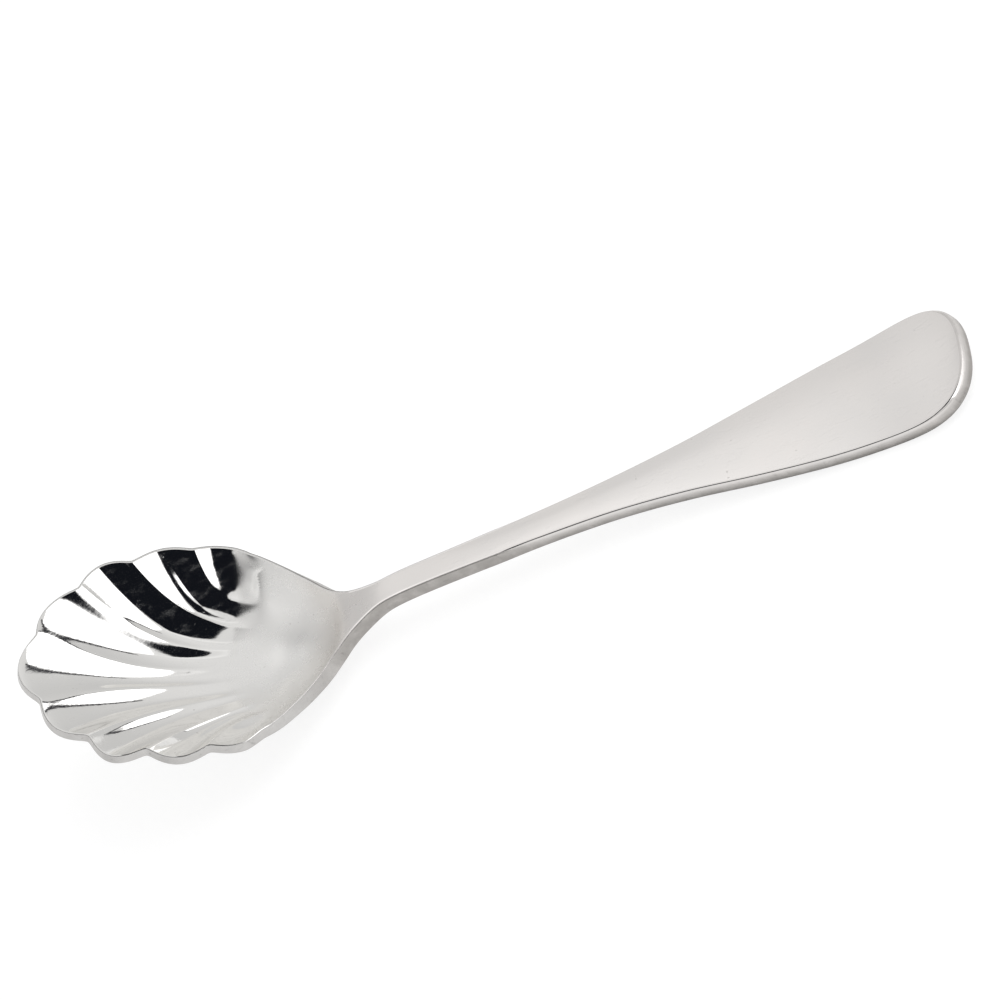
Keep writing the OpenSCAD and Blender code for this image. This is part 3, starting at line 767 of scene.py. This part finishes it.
# Outlines on that chart, in degrees: the dark gap that the camera looks through and its
# foot, the white panel beside it, the panel's thin dark border, and a brighter wall
GAP = [(-54.5, -26), (6, -24.2), (12.6, 10), (7.6, 41.3), (-11.7, 26.8), (-23.6, 13.4)]
GAP_FOOT = [(-46, -26), (-42, -46), (-20, -46), (-10, -26)]
PANEL = [(4.4, -15.7), (64.6, -25), (56.2, 56), (51.9, 77.2), (29.2, 73.1), (15.4, 49.8)]
BORDER = [(25, 72.4), (57, 78.2), (56.6, 80.6), (24.6, 74.8)]
BRIGHT_WALL = [(-86, 36), (-42, 36), (-42, 72), (-86, 57.5)]
# Softness of the borders, in degrees: gap, panel, border and wall, and the gap's raggedness
GAP_SOFT, PANEL_SOFT, BORDER_SOFT, WALL_SOFT, GAP_RAGGED = 1.2, 0.8, 0.6, 3.5, 6.0
# Colours of the gap and of the border, how much the wall adds, and the panel's cool cast
GAP_COLOUR, BORDER_COLOUR = (0.006, 0.007, 0.01, 1), (0.02, 0.02, 0.025, 1)
WALL_GLOW, PANEL_CAST = 0.11, 1.01
# Height in the tent, as the sine of the angle, from which it is as bright as its roof
ROOF_START = 0.8
# Brighter and darker patches of the tent: degrees right and up, length, width and turn in
# degrees, and amount
PATCHES = ((-8, 42, 22, 5, 8, 0.15), (-69, 35, 9, 42, -19, -0.15),
           (-92, -35, 33, 8, 48, 0.18), (-93, 97, 7, 19, 98, -0.19),
           (-87, 39, 60, 21, 1, -0.21), (-50, 50, 10, 23, -78, 0.2),
           (-50, 4, 10, 8, 0, 0.2))


def tent_world(looks):
    """Light tent round the spoon: walls that are brighter overhead, a white panel to the
    right, and the dark gap that the camera looks through. The camera sees plain white."""
    world = bpy.data.worlds.new("light_tent")
    bpy.context.scene.world = world
    world.use_nodes = True
    n = Nodes(world.node_tree)
    ray = n.add("ShaderNodeTexCoord").outputs["Generated"]
    place = chart(n, ray)
    ragged = n.math("SUBTRACT", n.noise(ray, 9.0, 6.0, 0.65), 0.5)
    height = n.dot(ray, (0, 0, 1))
    wall = n.ramp(height, 0.0, ROOF_START, looks.tent, looks.tent + looks.roof)
    for *ellipse, amount in PATCHES:
        wall = n.math("MULTIPLY_ADD", soft_patch(n, place, *ellipse), amount, wall)
    wall = n.math("MULTIPLY_ADD", inside(n, place, BRIGHT_WALL, WALL_SOFT), WALL_GLOW, wall)
    tone = n.add("ShaderNodeCombineColor", {0: wall, 1: wall, 2: wall}).outputs[0]
    tone = n.blend(inside(n, place, PANEL, PANEL_SOFT), tone,
                   (looks.panel, looks.panel, looks.panel * PANEL_CAST, 1))
    tone = n.blend(inside(n, place, BORDER, BORDER_SOFT), tone, BORDER_COLOUR)
    shift = n.math("MULTIPLY", ragged, GAP_RAGGED)
    for corners in (GAP, GAP_FOOT):
        tone = n.blend(inside(n, place, corners, GAP_SOFT, shift), tone, GAP_COLOUR)
    rays = n.add("ShaderNodeLightPath").outputs
    plain = n.add("ShaderNodeBackground", {"Color": (0.9, 0.9, 0.9, 1), "Strength": 0.8})
    seen = n.add("ShaderNodeBackground", {"Color": (1, 1, 1, 1), "Strength": 1.0})
    mirrored = n.add("ShaderNodeBackground", {"Color": tone, "Strength": 1.0})
    first = n.add("ShaderNodeMixShader", {0: rays["Is Glossy Ray"], 1: plain.outputs[0],
                                          2: mirrored.outputs[0]})
    second = n.add("ShaderNodeMixShader", {0: rays["Is Camera Ray"], 1: first.outputs[0],
                                           2: seen.outputs[0]})
    n.add("ShaderNodeOutputWorld", {"Surface": second.outputs[0]})


# Half the table's side in metres, and for the camera the table's grey and its glow
TABLE_REACH, SEEN_GREY, SEEN_GLOW = 2.0, (0.24, 0.24, 0.24, 1), 0.82


def table_top(looks):
    """Pale table: a camera ray adds a glow to the lit surface, so that it reads as white
    and only the spoon's shadow stays."""
    mesh = bpy.data.meshes.new("table_top")
    r = TABLE_REACH
    mesh.from_pydata([(-r, -r, 0), (r, -r, 0), (r, r, 0), (-r, r, 0)], [], [(0, 1, 2, 3)])
    table = bpy.data.objects.new("table_top", mesh)
    bpy.context.scene.collection.objects.link(table)
    material = bpy.data.materials.new("table_white")
    material.use_nodes = True
    n = Nodes(material.node_tree)
    rays = n.add("ShaderNodeLightPath").outputs
    lit = n.add("ShaderNodeBsdfDiffuse", {"Color": (*looks.floor, 1)})
    soft_lit = n.add("ShaderNodeBsdfDiffuse", {"Color": SEEN_GREY})
    glow = n.add("ShaderNodeEmission", {"Color": (1, 1, 1, 1), "Strength": SEEN_GLOW})
    both = n.add("ShaderNodeAddShader", {0: soft_lit.outputs[0], 1: glow.outputs[0]})
    mixed = n.add("ShaderNodeMixShader", {0: rays["Is Camera Ray"], 1: lit.outputs[0],
                                          2: both.outputs[0]})
    n.add("ShaderNodeOutputMaterial", {"Surface": mixed.outputs[0]})
    mesh.materials.append(material)


def soft_lamp(name, place, size, power):
    """Large soft lamp that faces the spoon."""
    data = bpy.data.lights.new(name, "AREA")
    data.shape, data.size, data.size_y, data.energy = "RECTANGLE", size[0], size[1], power
    lamp = bpy.data.objects.new(name, data)
    lamp.location = place
    lamp.rotation_euler = (-Vector(place)).to_track_quat("-Z", "Y").to_euler()
    lamp.visible_glossy = lamp.visible_camera = False
    bpy.context.scene.collection.objects.link(lamp)


def camera(looks):
    """Long lens at the photograph's angle, turned as the photograph is."""
    data = bpy.data.cameras.new("camera")
    data.sensor_width, data.lens = 36.0, looks.lens * 1000
    data.clip_start, data.clip_end = 0.01, 20.0
    eye = bpy.data.objects.new("camera", data)
    turned = Matrix((VIEW_RIGHT, VIEW_UP, VIEW)).transposed()
    eye.matrix_world = Matrix.Translation(CAMERA_PLACE) @ turned.to_4x4()
    bpy.context.scene.collection.objects.link(eye)
    bpy.context.scene.camera = eye


# ---------- operators ----------

# The computed spoon and the finishes, each made once
made = {}


def shared_spoon():
    """The spoon's computed skin, worked out once."""
    if "spoon" not in made:
        made["spoon"] = Spoon(bpy.context.scene.spoon_sizes)
        made["spoon"].build()
    return made["spoon"]


def add_zone(name, node, first, last, finish):
    """Makes a zone, gives it its finish, hangs it on the root body and hides its solid."""
    looks = bpy.context.scene.spoon_looks
    if finish not in made:
        made[finish] = polished_metal(finish, looks)
    piece = zone_piece(shared_spoon(), name, first, last)
    piece.data.materials.append(made[finish])
    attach(piece, "root")
    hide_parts(node)


class SPOON_OT_bowl(bpy.types.Operator):
    """Adds the fluted shell bowl"""
    bl_idname = "spoon.add_bowl"
    bl_label = "Shell bowl"

    def execute(self, context):
        cuts = shared_spoon().cuts
        add_zone("shell_bowl", "bowl", 0, int(cuts[0]), "bowl_metal")
        return {"FINISHED"}


class SPOON_OT_neck(bpy.types.Operator):
    """Adds the sagging neck"""
    bl_idname = "spoon.add_neck"
    bl_label = "Neck"

    def execute(self, context):
        cuts = shared_spoon().cuts
        add_zone("sagging_neck", "neck", int(cuts[0]), int(cuts[1]), "shaft_metal")
        return {"FINISHED"}


class SPOON_OT_stem(bpy.types.Operator):
    """Adds the narrow stem"""
    bl_idname = "spoon.add_stem"
    bl_label = "Stem"

    def execute(self, context):
        cuts = shared_spoon().cuts
        add_zone("narrow_stem", "stem", int(cuts[1]), int(cuts[2]), "shaft_metal")
        return {"FINISHED"}


class SPOON_OT_handle(bpy.types.Operator):
    """Adds the widening handle"""
    bl_idname = "spoon.add_handle"
    bl_label = "Handle"

    def execute(self, context):
        spoon = shared_spoon()
        add_zone("wide_handle", "handle", int(spoon.cuts[2]), spoon.last, "shaft_metal")
        return {"FINISHED"}


class SPOON_OT_stage(bpy.types.Operator):
    """Adds the table, the light tent, a lamp and the camera"""
    bl_idname = "spoon.add_stage"
    bl_label = "Stage"

    def execute(self, context):
        scene = context.scene
        scene.view_settings.view_transform = "Standard"
        tent_world(scene.stage_looks)
        table_top(scene.stage_looks)
        soft_lamp("soft_lamp_right", (0.55, 0.25, 0.9), (0.8, 0.8), 5.0)
        camera(scene.stage_looks)
        return {"FINISHED"}


class SPOON_PT_panel(bpy.types.Panel):
    """Sizes, colours and the steps that build the spoon"""
    bl_idname = "SPOON_PT_panel"
    bl_label = "Sugar spoon"
    bl_space_type = "VIEW_3D"
    bl_region_type = "UI"
    bl_category = "Spoon"

    def draw(self, context):
        scene = context.scene
        for step in STEPS:
            self.layout.operator(step.bl_idname)
        for group in (scene.spoon_sizes, scene.spoon_looks, scene.stage_looks):
            box = self.layout.box()
            for name in group.__annotations__:
                box.prop(group, name)


GROUPS = (SpoonSizes, SpoonLooks, StageLooks)
STEPS = (SPOON_OT_stage, SPOON_OT_bowl, SPOON_OT_neck, SPOON_OT_stem, SPOON_OT_handle)


def register():
    """Adds the classes and the scene's settings."""
    for cls in (*GROUPS, *STEPS, SPOON_PT_panel):
        bpy.utils.register_class(cls)
    bpy.types.Scene.spoon_sizes = PointerProperty(type=SpoonSizes)
    bpy.types.Scene.spoon_looks = PointerProperty(type=SpoonLooks)
    bpy.types.Scene.stage_looks = PointerProperty(type=StageLooks)


def unregister():
    """Takes them away again."""
    del bpy.types.Scene.stage_looks, bpy.types.Scene.spoon_looks, bpy.types.Scene.spoon_sizes
    for cls in reversed((*GROUPS, *STEPS, SPOON_PT_panel)):
        bpy.utils.unregister_class(cls)


def main():
    """Builds the stage and every zone in order."""
    register()
    bpy.ops.spoon.add_stage()
    bpy.ops.spoon.add_bowl()
    bpy.ops.spoon.add_neck()
    bpy.ops.spoon.add_stem()
    bpy.ops.spoon.add_handle()


if __name__ == "__main__":
    main()
